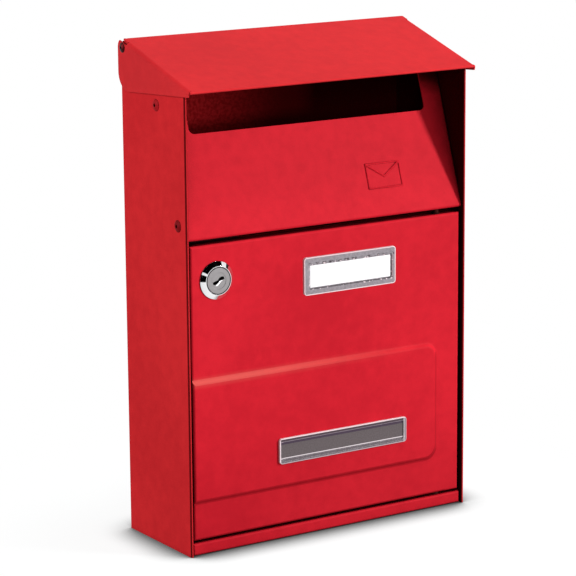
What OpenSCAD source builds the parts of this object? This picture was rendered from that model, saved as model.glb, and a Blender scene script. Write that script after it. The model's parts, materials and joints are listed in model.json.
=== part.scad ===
// Sheet steel letter box with a lifting roof, a sloped slot panel and a locked front door.
// Millimetres, +Z up. The front faces -Y, and the box stands on its base at z = 0.

/* [Case] */
// Width over the side walls
body_w = 212; // [200:1:240]
// Depth from the front edges of the side walls to the back
body_d = 78; // [70:1:110]
// Height of the highest edge of the roof
total_h = 320; // [310:1:360]
// Thickness of the steel sheet
sheet_t = 0.8; // [0.7:0.05:0.9]
// Outer radius of the folds in the sheet
fold_r = 1.6; // [1.2:0.1:2]
// Depth of the hems folded inwards along the front edges of the side walls
hem_d = 6; // [4:0.5:7]
// How far the door, the slot panel and the tray lip sit behind the front edges
front_recess = 1.6; // [0.5:0.1:3]
// Drop from the lid pivot to the top edge of the back
back_drop = 3.4; // [3.2:0.1:8]
// Depth of the flange folded forward along the top of the back
back_flange_d = 10; // [6:1:16]

/* [Wall fixing] */
// Radius of the four screw holes in the back
wall_hole_r = 3; // [2:0.25:4]
// Distance between the screw holes across the back
wall_hole_dx = 140; // [100:5:170]
// Distance between the screw holes up the back
wall_hole_dz = 150; // [100:5:165]
// Height of the middle of the screw hole pattern
wall_hole_z = 160; // [140:1:175]

/* [Roof] */
// Slope of the roof, in degrees
roof_slope = 17.1; // [14:0.5:20]
// How far the roof reaches in front of the side walls
roof_overhang = 8.6; // [6:0.2:14]
// Distance of the lid pivot from the back and from the top of the roof
pivot_inset = 5.6; // [5.4:0.1:6.5]
// Outer radius of the folds between the roof and its side flaps
roof_fold_r = 2.4; // [1.6:0.1:2.6]
// Depth of the hems under the front and rear edges of the roof
roof_hem_d = 6.5; // [4:0.5:8]
// Height of a side flap at its front end
flap_front_h = 3.4; // [2.8:0.2:6]
// Drop of a side flap's lower edge below the pivot at the rear
flap_drop = 27; // [22:0.5:32]
// Radius of a side flap's rear lower corner
flap_corner_r = 12; // [6:1:16]
// Gap between a side wall and the side flap over it
lid_side_gap = 0.9; // [0.6:0.1:1.2]
// Gap between the closed roof and the side walls under it
lid_seat_gap = 0.3; // [0.2:0.1:0.4]

/* [Slot panel] */
// Slope of the slot panel away from the vertical, in degrees
panel_slope = 18.5; // [16:0.5:20]
// Gap between the roof and the top edge of the slot panel
panel_top_gap = 2.2; // [1.5:0.1:4]
// Width of the letter slot
slot_w = 179; // [140:1:184]
// Height of the letter slot, along the slope
slot_h = 30; // [20:1:36]
// Radius of the corners of the letter slot
slot_r = 4; // [2:0.5:6]
// Height of the strip above the letter slot, along the slope
slot_strip_h = 14; // [11:0.5:20]
// Depth of the side flanges of the slot panel
panel_flange_d = 12; // [10:0.5:14]
// Depth of the flange along the top of the slot panel
panel_top_flange_d = 8; // [5:0.5:10]
// Height of the lower rivets above the lower edge, along the slope
rivet_low_s = 11.5; // [11:0.5:20]
// Distance of the upper rivets below the top edge, along the slope
rivet_high_s = 22.8; // [16:0.2:40]
// Depth of the rivets behind the face of the slot panel
rivet_depth = 5.6; // [5.2:0.1:6.4]
// Drop of the strike tab behind the door, below the slot panel
strike_drop = 15; // [12:0.2:15.4]
// Width of the strike tab
strike_w = 42; // [34:1:60]

/* [Rivets] */
// Radius of the shanks of the panel rivets
rivet_r = 2; // [1.6:0.1:2.2]
// Radius of the heads of the panel rivets
rivet_head_r = 3.9; // [3.2:0.1:4.2]
// Height of the rivet heads
rivet_head_h = 1.2; // [0.8:0.1:1.6]
// Radius of the shanks of the lid rivets
lid_rivet_r = 1.6; // [1.4:0.1:1.8]
// Radius of the heads of the lid rivets
lid_rivet_head_r = 3.2; // [2.8:0.1:3.6]

/* [Tray] */
// Height of the lip under the door
lip_h = 8.3; // [7:0.1:14]
// Depth of the ledge folded back from the top of the lip
ledge_d = 13; // [11:0.5:20]
// Height of the flanges along the sides and rear of the tray
tray_flange_h = 12; // [8:1:20]
// Gap between the ends of the lip and the hems beside it
lip_end_gap = 0.5; // [0.3:0.1:1.5]

/* [Door] */
// Height of the door
door_h = 188.2; // [180:0.2:192]
// Depth of the flanges folded back from the door
door_d = 12; // [11:0.5:14]
// Gap beside the door on the lock side
door_gap_lock = 1.5; // [1:0.1:3]
// Gap beside the door on the hinge side
door_gap_hinge = 2.1; // [1.6:0.1:3]
// Gap over the door
door_gap_top = 3.1; // [2.5:0.1:4]
// Gap under the door
door_gap_bottom = 1.7; // [1.2:0.1:3]
// Distance of the raised field from the door's edge on the hinge side
field_right = 17.3; // [10:0.1:30]
// Height of the raised field above the door's lower edge
field_bottom = 23.4; // [10:0.2:30]
// Height of the raised field
field_h = 80.6; // [74:0.2:100]
// How far the raised field stands out
field_rise = 1.5; // [0.8:0.1:1.5]
// Width of the slope round the raised field
field_run = 3.4; // [3:0.1:5]
// Radius of the corners of the raised field
field_r = 10; // [6:0.5:14]

/* [Hinge] */
// Distance of the hinge axis from the door's edge
hinge_inset = 16; // [13:0.5:16]
// Depth of the hinge axis behind the door's front face
hinge_depth = 4.6; // [4.4:0.1:6]
// Radius of the hinge pins
pin_r = 2; // [1.5:0.1:2.2]
// Radius of the heads and collars of the hinge pins
pin_head_r = 3; // [2.6:0.1:3.1]
// Height of the heads of the hinge pins
pin_head_h = 1.2; // [0.8:0.1:1.5]
// Radial clearance of every pivot in its hole
running_gap = 0.05; // [0.03:0.01:0.1]

/* [Lock] */
// Distance of the lock's axis from the door's edge
lock_inset = 18.6; // [17:0.2:24]
// Distance of the lock's axis below the door's top edge
lock_drop = 22.6; // [22:0.2:23]
// Outer radius of the lock's bezel
bezel_r = 12; // [11:0.2:13]
// Radius of the lock's flat face
lock_face_r = 8.5; // [7:0.1:9.5]
// How far the lock's face stands out from the door
lock_proud = 2.8; // [2:0.1:4]
// Radius of the lock's barrel
barrel_r = 9.3; // [8.5:0.1:9.6]
// Half the distance across the two flats of the barrel
barrel_flat = 7.9; // [7:0.1:8.2]
// Radius of the turning plug
plug_r = 4.6; // [4:0.1:5]
// Length of the key slot across the plug
keyway_l = 7.4; // [6:0.1:7.6]
// Tilt of the key slot while the lock is open, in degrees
keyway_tilt = 16; // [0:1:30]
// Distance across the flats of the lock nut
nut_af = 22; // [20:0.5:24]
// Thickness of the lock nut
nut_t = 3.5; // [2.5:0.5:5]
// Reach of the cam from the lock's axis
cam_l = 24; // [20:0.5:25]
// Width of the cam
cam_w = 13; // [10:0.5:13]
// Thickness of the cam
cam_t = 2; // [1.5:0.1:2.5]

/* [Name plate] */
// Width of the name plate
plate_w = 70.4; // [60:0.2:84]
// Height of the name plate
plate_h = 24.4; // [20:0.2:28]
// How far the name plate stands out from the door
plate_proud = 1.8; // [1:0.1:3]
// Distance of the name plate's middle from the middle of the case
plate_x = 14.8; // [10:0.2:30]
// Distance of the name plate's middle below the door's top edge
plate_drop = 28.4; // [24:0.2:40]
// Length of the name card
card_w = 63.2; // [40:0.2:63.4]
// Height of the name card
card_h = 14.8; // [10:0.2:15.2]

/* [Window] */
// Width of the inspection window
window_w = 98.6; // [80:0.2:110]
// Height of the inspection window
window_h = 16.8; // [15:0.2:24]
// How far the inspection window stands out from the raised field
window_proud = 1.5; // [1:0.1:2.5]
// Distance of the window's middle from the middle of the case
window_x = 8.7; // [0:0.1:14]
// Height of the window's middle above the door's lower edge
window_up = 48.9; // [45:0.1:60]

/* [Hidden] */
$fn = 48;

// Colours of the finishes
paint_red = [0.83, 0.14, 0.19];
black_steel = [0.1, 0.09, 0.09];
chrome = [0.78, 0.78, 0.8];
steel = [0.62, 0.62, 0.64];
clear_plastic = [0.75, 0.76, 0.78];
card_white = [0.97, 0.97, 0.96];
plastic_white = [0.9, 0.9, 0.89];

// Clearance between a plastic insert and the sheet round it
insert_gap = 0.2;
// Clearance between faces that lie close but do not carry each other
close_gap = 0.3;
// A cutter reaches this far past what it cuts
over = 1;
// Stretches of one sheet run into each other by this much at the end of a fold
lap = 0.05;
// Folded flanges stop this far from the side walls
flange_end = 3;
// The hinge pins reach this far past the sheet that they turn in
pin_past = 1.5;
// Play along the axis of a pivot
end_play = 0.1;

// The case: the origin is under the middle of the whole box
back_y = (body_d + roof_overhang) / 2;
front_y = back_y - body_d;
inner_x = body_w / 2 - sheet_t;
hem_x = body_w / 2 - 2 * sheet_t;
hem_end_y = front_y + hem_d + close_gap;
face_y = front_y + front_recess;

// The lid pivot, and the roof measured from it along its own slope
pivot_y = back_y - pivot_inset;
pivot_z = total_h - pivot_inset;
roof_drop = 0.2;
roof_top = pivot_inset - roof_drop;
roof_nose_r = sheet_t;
roof_rear_t = sqrt(pow(pivot_inset - roof_nose_r, 2) - pow(roof_top - roof_nose_r, 2));
roof_front_t = (front_y - roof_overhang + roof_nose_r - pivot_y + (roof_top - roof_nose_r) * sin(roof_slope))
    / cos(roof_slope);
lid_x = body_w / 2 + lid_side_gap + sheet_t;
roof_hem_gap = 1.4;
roof_hem_x = inner_x - roof_hem_gap;
wall_top = roof_top - sheet_t - lid_seat_gap;
back_top_z = pivot_z - back_drop;

// The door, and what lies over and under it
door_z0 = lip_h + door_gap_bottom;
door_z1 = door_z0 + door_h;
door_x0 = -hem_x + door_gap_lock;
door_x1 = hem_x - door_gap_hinge;
door_w = door_x1 - door_x0;
door_mid_x = (door_x0 + door_x1) / 2;
door_mid_z = (door_z0 + door_z1) / 2;
field_y = face_y - field_rise;
field_z0 = door_z0 + field_bottom;
panel_z = door_z1 + door_gap_top;
panel_half_w = hem_x - insert_gap;

// The slot panel, measured up its own slope from its lower edge
panel_foot_n = (pivot_y - face_y) * sin(roof_slope) + (panel_z - pivot_z) * cos(roof_slope);
panel_len = (roof_top - sheet_t - panel_top_gap - panel_foot_n) / cos(panel_slope + roof_slope);
slot_s = panel_len - slot_strip_h - slot_h;
rivet_s = [rivet_low_s, panel_len - rivet_high_s];
strike_gap = 0.4;
strike_inset = 2;
strike_y = face_y + door_d + strike_gap;
strike_x = -panel_half_w + strike_inset;

// The hinge
hinge_x = door_x1 - hinge_inset;
hinge_y = face_y + hinge_depth;

// The lock
lock_x = door_x0 + lock_inset;
lock_z = door_z1 - lock_drop;
barrel_end_y = strike_y + sheet_t;
cam_y = barrel_end_y + close_gap;
plug_recess = 0.15;
plug_face_y = face_y - lock_proud + plug_recess;
plug_lip = 0.7;
plug_head_r = plug_r + plug_lip;
plug_head_t = 1.2;
cam_square = 6;
cam_screw_r = 1.9;
cam_screw_l = 8;
washer_r = 5.4;
washer_t = 0.8;
key_t = 1.1;
key_depth = 9;

// The name plate and the window
insert_r = 2;
cut_r = 1;
plate_hooks = 12;
window_hooks = 14;
plate_rim_x = 1.6;
plate_rim_z = 2.4;
plate_boss_d = 2.8;
plate_cut_w = plate_w - 2 * plate_rim_x;
plate_cut_h = plate_h - 2 * plate_rim_z;
plate_z = door_z1 - plate_drop;
plate_end_y = face_y + plate_boss_d;
pocket_start = 0.4;
pocket_wall_x = 0.6;
pocket_wall_z = 1.6;
pocket_y = face_y + pocket_start;
pocket_w = plate_cut_w - 2 * (insert_gap + pocket_wall_x);
pocket_h = plate_cut_h - 2 * (insert_gap + pocket_wall_z);
card_t = 0.3;
card_x = plate_x + (pocket_w - card_w) / 2 - close_gap;
back_plate_t = 1.6;
window_rim = 2.3;
window_boss_d = 1.6;
window_cut_w = window_w - 2 * window_rim;
window_cut_h = window_h - 2 * window_rim;
window_z = door_z0 + window_up;
window_end_y = field_y + sheet_t + window_boss_d;
hook_w = 3;
hook_t = 1;
hook_reach = 0.6;
hook_gap = 0.1;

// Extrudes a profile drawn in X and Y upwards
module along_z(z0, z1) {
    translate([0, 0, z0]) linear_extrude(z1 - z0) children();
}

// Extrudes a profile drawn in X and Z towards the back
module along_y(y0, y1) {
    translate([0, y1, 0]) rotate([90, 0, 0]) linear_extrude(y1 - y0) children();
}

// Extrudes a profile drawn in Y and Z to the right
module along_x(x0, x1) {
    translate([x0, 0, 0]) rotate([90, 0, 90]) linear_extrude(x1 - x0) children();
}

// A block between two corners
module block(x, y, z) {
    translate([x[0], y[0], z[0]]) cube([x[1] - x[0], y[1] - y[0], z[1] - z[0]]);
}

// A rectangle with four rounded corners
module rounded_rect(w, h, r) {
    square([w - 2 * r, h], center = true);
    square([w, h - 2 * r], center = true);
    for (sx = [-1, 1], sz = [-1, 1]) translate([sx * (w / 2 - r), sz * (h / 2 - r)]) circle(r);
}

// A rectangle that starts at y = 0, with the two corners there rounded
module folded_outline(w, d, r) {
    translate([-w / 2, r]) square([w, d - r]);
    translate([-w / 2 + r, 0]) square([w - 2 * r, d]);
    for (sx = [-1, 1]) translate([sx * (w / 2 - r), r]) circle(r);
}

// A sheet with both sides folded back
module channel(w, d, r) {
    difference() {
        folded_outline(w, d, r);
        translate([0, sheet_t]) folded_outline(w - 2 * sheet_t, d, r - sheet_t);
    }
}

// The ring sector of one fold, between two angles
module fold(r, a0, a1) {
    intersection() {
        difference() {
            circle(r);
            circle(r - sheet_t);
        }
        polygon([[0, 0], for (k = [0:3]) let (a = a0 + (a1 - a0) * k / 3) 2 * r * [cos(a), sin(a)]]);
    }
}

// A blind rivet along +X: its head is outside at x = 0, and its set tail lies past the sheets it holds
module blind_rivet(r, head_r, grip, tail_r, tail_l) {
    tail_end = 0.6;
    bore_r = 0.55 * r;
    dome_r = (head_r * head_r + rivet_head_h * rivet_head_h) / (2 * rivet_head_h);
    difference() {
        union() {
            intersection() {
                translate([dome_r - rivet_head_h, 0, 0]) sphere(dome_r);
                rotate([0, -90, 0]) cylinder(h = rivet_head_h + over, r = head_r);
            }
            rotate([0, 90, 0]) cylinder(h = grip + tail_l, r = r);
            translate([grip, 0, 0]) rotate([0, 90, 0]) cylinder(h = tail_l - tail_end, r = tail_r);
            translate([grip + tail_l - tail_end, 0, 0]) rotate([0, 90, 0])
                cylinder(h = tail_end, r1 = tail_r, r2 = r);
        }
        translate([-rivet_head_h - over, 0, 0]) rotate([0, 90, 0])
            cylinder(h = rivet_head_h + grip + over, r = bore_r);
    }
}

// Places a thing on the slope of the slot panel: X across, Y into the sheet, Z up the slope
module on_panel() {
    translate([0, face_y, panel_z]) rotate([-panel_slope, 0, 0]) children();
}

// Places a thing at the lid pivot, with Y along the slope of the roof
module on_roof() {
    translate([0, pivot_y, pivot_z]) rotate([roof_slope, 0, 0]) children();
}

// Turns a shape drawn along +Z to point at the front, on the lock's axis
module on_lock(y) {
    translate([lock_x, y, lock_z]) rotate([90, 0, 0]) children();
}

// The holes for the panel rivets
module panel_rivet_holes() {
    for (s = rivet_s, sx = [-1, 1]) on_panel() translate([sx * inner_x, rivet_depth, s])
        rotate([0, 90, 0]) cylinder(h = 4 * sheet_t, r = rivet_r + running_gap, center = true);
}

// The side view of the case under the roof, measured from the pivot
module case_side() {
    slope_y = front_y - over - pivot_y;
    slope_z = (wall_top + slope_y * sin(roof_slope)) / cos(roof_slope);
    circle(wall_top);
    polygon([[slope_y, slope_z], [-wall_top * sin(roof_slope), wall_top * cos(roof_slope)], [0, 0],
        [wall_top, 0], [wall_top, -back_drop], [pivot_inset + over, -back_drop],
        [pivot_inset + over, -pivot_z], [slope_y, -pivot_z]]);
}

// The corner outside a fold of the upper edge of a sheet, which the fold rounds off
module fold_corner(y, z) {
    translate([y - fold_r, z - fold_r]) difference() {
        square(fold_r + over);
        circle(fold_r);
    }
}

// The holes that the lid turns in
module lid_rivet_holes() {
    for (sx = [-1, 1]) translate([sx * body_w / 2, pivot_y, pivot_z]) rotate([0, 90, 0])
        cylinder(h = 2 * (lid_side_gap + 2 * sheet_t), r = lid_rivet_r + running_gap, center = true);
}

// The plan of the case: the back, the two side walls and the hems along their front edges
module case_plan() {
    translate([0, back_y]) mirror([0, 1]) channel(body_w, body_d - sheet_t, fold_r);
    for (sx = [-1, 1]) {
        translate([sx * inner_x, front_y + sheet_t]) circle(sheet_t);
        translate([sx * (hem_x + sheet_t / 2) - sheet_t / 2, front_y + sheet_t])
            square([sheet_t, hem_d - sheet_t]);
    }
}

// The back and the two side walls, folded from one sheet
module case_shell() {
    flange_x = inner_x - flange_end;
    color(paint_red) difference() {
        union() {
            intersection() {
                along_z(0, total_h) case_plan();
                translate([0, pivot_y, pivot_z]) along_x(-body_w, body_w) case_side();
            }
            along_x(-flange_x, flange_x) {
                translate([back_y - fold_r, back_top_z - fold_r]) fold(fold_r, 0, 90);
                translate([back_y - back_flange_d, back_top_z - sheet_t])
                    square([back_flange_d - fold_r + lap, sheet_t]);
            }
        }
        along_x(-flange_x, flange_x) fold_corner(back_y, back_top_z);
        for (sx = [-1, 1], sz = [-1, 1])
            translate([sx * wall_hole_dx / 2, back_y + over, wall_hole_z + sz * wall_hole_dz / 2])
                rotate([90, 0, 0]) cylinder(h = sheet_t + 2 * over, r = wall_hole_r);
        panel_rivet_holes();
        lid_rivet_holes();
    }
}

// The block that fills a folded pan, drawn in from its faces by an inset
module pan_block(x, z, d, inset) {
    intersection() {
        along_z(z[0] + inset, z[1] - inset) translate([(x[0] + x[1]) / 2, face_y + inset])
            folded_outline(x[1] - x[0] - 2 * inset, d, fold_r - inset);
        along_x(x[0] + inset, x[1] - inset) translate([face_y + inset, (z[0] + z[1]) / 2]) rotate(-90)
            folded_outline(z[1] - z[0] - 2 * inset, d, fold_r - inset);
    }
}

// A folded pan between two corners in X and Z, open at its back
module pan(x, z, d) {
    difference() {
        pan_block(x, z, d, 0);
        pan_block(x, z, d, sheet_t);
    }
}

// The floor with the lip under the door, and the ledge that carries the lower hinge pin
module bottom_tray() {
    lip_x = hem_x - lip_end_gap;
    rear_x = inner_x - fold_r;
    color(paint_red) difference() {
        union() {
            pan([-lip_x, lip_x], [0, lip_h], ledge_d);
            block([-rear_x, rear_x], [face_y + fold_r, back_y - sheet_t], [0, sheet_t]);
            block([-rear_x, rear_x], [back_y - 2 * sheet_t, back_y - sheet_t], [0, tray_flange_h]);
            block([-inner_x, inner_x], [hem_end_y, back_y - 3 * sheet_t], [0, sheet_t]);
            for (x = [-inner_x, inner_x - sheet_t])
                block([x, x + sheet_t], [hem_end_y, back_y - 3 * sheet_t], [0, tray_flange_h]);
        }
        translate([hinge_x, hinge_y, lip_h - sheet_t - over])
            cylinder(h = sheet_t + 2 * over, r = pin_r + running_gap);
    }
}

// The sloped panel: letter slot, side flanges, top flange, hinge flange and strike tab
module slot_panel() {
    foot = fold_r * (1 + sin(panel_slope)) / cos(panel_slope);
    top_x = inner_x - flange_end;
    strike_end_y = strike_y + sheet_t;
    color(paint_red) difference() {
        union() {
            on_panel() {
                along_z(foot - lap, panel_len - fold_r + lap) channel(2 * inner_x, panel_flange_d, fold_r);
                along_x(-top_x, top_x) {
                    translate([fold_r, panel_len - fold_r]) fold(fold_r, 90, 180);
                    translate([fold_r - lap, panel_len - sheet_t])
                        square([panel_top_flange_d - fold_r + lap, sheet_t]);
                }
            }
            along_x(-panel_half_w, panel_half_w) {
                translate([face_y + foot, panel_z + fold_r]) fold(fold_r, 180 - panel_slope, 270);
                translate([face_y + foot - lap, panel_z])
                    square([strike_end_y - fold_r - face_y - foot + 2 * lap, sheet_t]);
            }
            along_x(strike_x, strike_x + strike_w) {
                translate([strike_end_y - fold_r, panel_z + sheet_t - fold_r]) fold(fold_r, 0, 90);
                translate([strike_y, panel_z - strike_drop])
                    square([sheet_t, strike_drop + sheet_t - fold_r + lap]);
            }
        }
        for (sx = [-1, 1]) translate([sx * (panel_half_w + over), 0, panel_z]) {
            block([-over, over], [front_y - over, hem_end_y], [-fold_r, panel_len]);
            block([-over, over], [face_y, back_y], [-panel_flange_d, 2 * sheet_t]);
        }
        on_panel() along_y(-over, sheet_t + over) translate([0, slot_s + slot_h / 2])
            rounded_rect(slot_w, slot_h, slot_r);
        translate([hinge_x, hinge_y, panel_z - over]) cylinder(h = sheet_t + 2 * over, r = pin_r + running_gap);
        panel_rivet_holes();
    }
}

// One panel rivet, on a side and at a height up the slope
module slot_rivet(side, s) {
    tail_r = 2.7;
    tail_l = 3;
    color(paint_red) on_panel() translate([side * body_w / 2, rivet_depth, s]) mirror([side > 0 ? 1 : 0, 0, 0])
        blind_rivet(rivet_r, rivet_head_r, 2 * sheet_t, tail_r, tail_l);
}

// The side view of a lid flap, measured from the pivot
module flap_side() {
    front = front_y - roof_overhang + roof_nose_r - pivot_y;
    front_top = (roof_top + front * sin(roof_slope)) / cos(roof_slope);
    corner_y = pivot_inset - flap_corner_r;
    corner_z = flap_corner_r - flap_drop;
    front_lean = 1;
    circle(pivot_inset);
    translate([corner_y, corner_z]) circle(flap_corner_r);
    polygon([[front, front_top], [front + front_lean, front_top - flap_front_h], [corner_y, -flap_drop],
        [corner_y, corner_z], [pivot_inset, corner_z], [pivot_inset, 0], [0, 0],
        [-roof_top * sin(roof_slope), roof_top * cos(roof_slope)]]);
}

// The roof: one folded sheet, whose two side flaps turn on the lid rivets
module roof_lid() {
    fold_x = lid_x - roof_fold_r;
    corner_x = lid_x - sheet_t - insert_gap;
    front_relief = 1.4;
    rear_relief = 6;
    slit = 0.3;
    ear_gap = 0.6;
    color(paint_red) difference() {
        union() {
            on_roof() {
                block([-fold_x, fold_x], [roof_front_t, roof_rear_t], [roof_top - sheet_t, roof_top]);
                along_x(-roof_hem_x, roof_hem_x) {
                    for (t = [roof_front_t, roof_rear_t])
                        translate([t, roof_top - roof_nose_r]) circle(roof_nose_r);
                    for (t = [roof_front_t, roof_rear_t - roof_hem_d])
                        translate([t, roof_top - 2 * sheet_t]) square([roof_hem_d, sheet_t]);
                }
            }
            intersection() {
                on_roof() along_y(roof_front_t, pivot_inset + over) difference() {
                    translate([0, roof_top]) mirror([0, 1]) channel(2 * lid_x, 2 * flap_drop, roof_fold_r);
                    translate([lap - fold_x, -body_d]) square([2 * (fold_x - lap), body_d + pivot_inset]);
                }
                translate([0, pivot_y, pivot_z]) along_x(-body_w, body_w) {
                    flap_side();
                    rotate(roof_slope) translate([roof_front_t, roof_top - sheet_t])
                        square([roof_rear_t - roof_front_t, sheet_t]);
                }
            }
        }
        on_roof() for (sx = [-1, 1]) mirror([sx > 0 ? 0 : 1, 0, 0]) {
            block([fold_x, lid_x - sheet_t], [roof_rear_t - rear_relief, 2 * pivot_inset],
                [0, pivot_inset + over]);
            block([fold_x, lid_x + over], [roof_rear_t - rear_relief, 2 * pivot_inset],
                [roof_top - 2 * sheet_t - ear_gap, pivot_inset + over]);
            block([fold_x, lid_x - sheet_t], [roof_front_t - over, roof_front_t + front_relief],
                [-flap_front_h, pivot_inset + over]);
        }
        lid_rivet_holes();
    }
    color(paint_red) on_roof() {
        block([-corner_x, corner_x], [roof_rear_t - rear_relief + slit, roof_rear_t],
            [roof_top - sheet_t, roof_top]);
        block([-corner_x, corner_x], [roof_front_t, roof_front_t + front_relief - slit],
            [roof_top - sheet_t, roof_top]);
        along_x(-corner_x, corner_x) translate([roof_front_t, roof_top - roof_nose_r]) circle(roof_nose_r);
    }
}

// A lid rivet, whose collar keeps the flap off the side wall
module lid_rivet(side) {
    tail_r = 2.6;
    tail_l = 1.6;
    collar_r = 2.6;
    grip = end_play + 2 * sheet_t + lid_side_gap;
    color(black_steel) translate([side * (lid_x + end_play), pivot_y, pivot_z]) mirror([side > 0 ? 1 : 0, 0, 0]) {
        blind_rivet(lid_rivet_r, lid_rivet_head_r, grip, tail_r, tail_l);
        translate([end_play + sheet_t + running_gap, 0, 0]) rotate([0, 90, 0])
            cylinder(h = lid_side_gap - running_gap, r = collar_r);
    }
}

// The raised field, whose slope eases in and out: shifted into the sheet, and reaching a little past its foot
module field_block(shift, foot) {
    steps = [[0, 0], [0.28, 0.14], [0.72, 0.86], [1, 1]];
    slope = [for (p = steps) [p[0] * field_run, p[1] * field_rise]];
    w = door_w + 2 * field_r - field_right;
    translate([door_x1 - field_right - w / 2, face_y + shift, field_z0 + field_h / 2]) {
        along_x(-w / 2 + field_r, w / 2 - field_r) polygon([[foot, -field_h / 2],
            for (p = slope) [-p[1], p[0] - field_h / 2],
            for (k = [3:-1:0]) [-slope[k][1], field_h / 2 - slope[k][0]], [foot, field_h / 2]]);
        along_z(-field_h / 2 + field_r, field_h / 2 - field_r) polygon([[-w / 2, foot],
            for (p = slope) [p[0] - w / 2, -p[1]],
            for (k = [3:-1:0]) [w / 2 - slope[k][0], -slope[k][1]], [w / 2, foot]]);
        for (sx = [-1, 1], sz = [-1, 1]) translate([sx * (w / 2 - field_r), 0, sz * (field_h / 2 - field_r)])
            rotate([90, 0, 0]) rotate_extrude() polygon([[0, -foot], [field_r, -foot],
                for (p = slope) [field_r - p[0], p[1]], [0, field_rise]]);
    }
}

// The raised field as it ends at the folds of the door, over which it runs on the lock side
module raised_field(shift, foot) {
    intersection() {
        field_block(shift, foot);
        along_z(door_z0, door_z1) translate([door_mid_x, field_y + shift])
            folded_outline(door_w - 2 * shift, door_d, fold_r - shift);
    }
}

// The door: a folded pan with its raised field, and the openings for what it carries
module door_panel() {
    slit = 0.4;
    color(paint_red) difference() {
        union() {
            pan([door_x0, door_x1], [door_z0, door_z1], door_d);
            raised_field(0, sheet_t / 2);
            block([door_x0, door_x0 + sheet_t], [field_y + fold_r, face_y + 2 * fold_r],
                [field_z0 + field_run, field_z0 + field_h - field_run]);
        }
        raised_field(sheet_t, over);
        for (x = [door_x0 + sheet_t, door_x1 - sheet_t - slit], z = [door_z0, door_z1]) translate([x, 0, z])
            block([0, slit], [face_y + 2 * fold_r, face_y + door_d + over], [-2 * sheet_t, 2 * sheet_t]);
        along_y(field_y - over, face_y + sheet_t + over) {
            translate([lock_x, lock_z]) intersection() {
                circle(barrel_r + running_gap);
                square([2 * (barrel_flat + running_gap), 4 * barrel_r], center = true);
            }
            translate([plate_x, plate_z]) rounded_rect(plate_cut_w, plate_cut_h, cut_r);
            translate([window_x, window_z]) rounded_rect(window_cut_w, window_cut_h, cut_r);
        }
        for (z = [door_z0, door_z1]) translate([hinge_x, hinge_y, z])
            cylinder(h = 4 * sheet_t, r = pin_r + running_gap, center = true);
    }
}

// A hinge pin, drawn upwards from the inner face of a door flange: head, shank and collar
module hinge_pin(collar_h, reach) {
    chamfer = 0.4;
    collar_r = pin_head_r - close_gap;
    translate([0, 0, -pin_head_h]) cylinder(h = pin_head_h, r = pin_head_r);
    cylinder(h = reach - chamfer, r = pin_r);
    translate([0, 0, reach - chamfer]) cylinder(h = chamfer, r1 = pin_r, r2 = pin_r - chamfer);
    translate([0, 0, sheet_t]) cylinder(h = collar_h, r = collar_r);
}

// The upper hinge pin, which turns in the flange of the slot panel
module hinge_pin_upper() {
    collar_h = 0.8;
    color(steel) translate([hinge_x, hinge_y, door_z1 - sheet_t])
        hinge_pin(collar_h, 2 * sheet_t + door_gap_top + pin_past);
}

// The lower hinge pin, whose collar carries the door on the ledge
module hinge_pin_lower() {
    color(steel) translate([hinge_x, hinge_y, door_z0 + sheet_t]) mirror([0, 0, 1])
        hinge_pin(door_gap_bottom - end_play, 2 * sheet_t + door_gap_bottom + pin_past);
}

// The hooks along the top and bottom of an insert, which hold it behind the sheet
module hooks(w, h, y, count) {
    pitch = w / count;
    for (k = [0:count - 1], sz = [-1, 1]) translate([(k + 0.5) * pitch - w / 2, 0, sz * h / 2])
        block([-hook_w / 2, hook_w / 2], [y, y + hook_t], [-hook_reach, hook_reach]);
}

// The clear cover of the name plate
module name_plate_cover() {
    boss_w = plate_cut_w - 2 * insert_gap;
    boss_h = plate_cut_h - 2 * insert_gap;
    color(clear_plastic) translate([plate_x, 0, plate_z]) difference() {
        union() {
            along_y(face_y - plate_proud, face_y) rounded_rect(plate_w, plate_h, insert_r);
            along_y(face_y - over, plate_end_y) rounded_rect(boss_w, boss_h, cut_r - insert_gap);
            hooks(boss_w, boss_h, face_y + sheet_t + hook_gap, plate_hooks);
        }
        along_y(pocket_y, plate_end_y + over) rounded_rect(pocket_w, pocket_h, pocket_wall_x);
    }
}

// The card behind the clear cover, which rests on the floor of its pocket
module name_card() {
    color(card_white) translate([card_x, 0, plate_z - (pocket_h - card_h) / 2 + running_gap])
        along_y(pocket_y + running_gap, pocket_y + running_gap + card_t) square([card_w, card_h], center = true);
}

// The plate that closes the pocket behind the card
module name_plate_back() {
    color(plastic_white) translate([plate_x, 0, plate_z])
        along_y(pocket_y + card_t + 2 * running_gap, pocket_y + card_t + 2 * running_gap + back_plate_t)
            rounded_rect(pocket_w - 2 * running_gap, pocket_h - 2 * running_gap, pocket_wall_x);
}

// The clear window in the raised field, dished at the front
module inspection_window() {
    boss_w = window_cut_w - 2 * insert_gap;
    boss_h = window_cut_h - 2 * insert_gap;
    rim = 2.2;
    wall = 1.2;
    dish = 0.6;
    pane_back = 0.7;
    color(clear_plastic) translate([window_x, 0, window_z]) difference() {
        union() {
            along_y(field_y - window_proud, field_y) rounded_rect(window_w, window_h, insert_r);
            along_y(field_y - window_proud / 2, window_end_y) rounded_rect(boss_w, boss_h, cut_r - insert_gap);
            hooks(boss_w, boss_h, field_y + sheet_t + hook_gap, window_hooks);
        }
        along_y(field_y - window_proud - over, field_y - window_proud + dish)
            rounded_rect(window_w - 2 * rim, window_h - 2 * rim, cut_r);
        along_y(field_y + pane_back, window_end_y + over)
            rounded_rect(boss_w - 2 * wall, boss_h - 2 * wall, cut_r / 2);
    }
}

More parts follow.
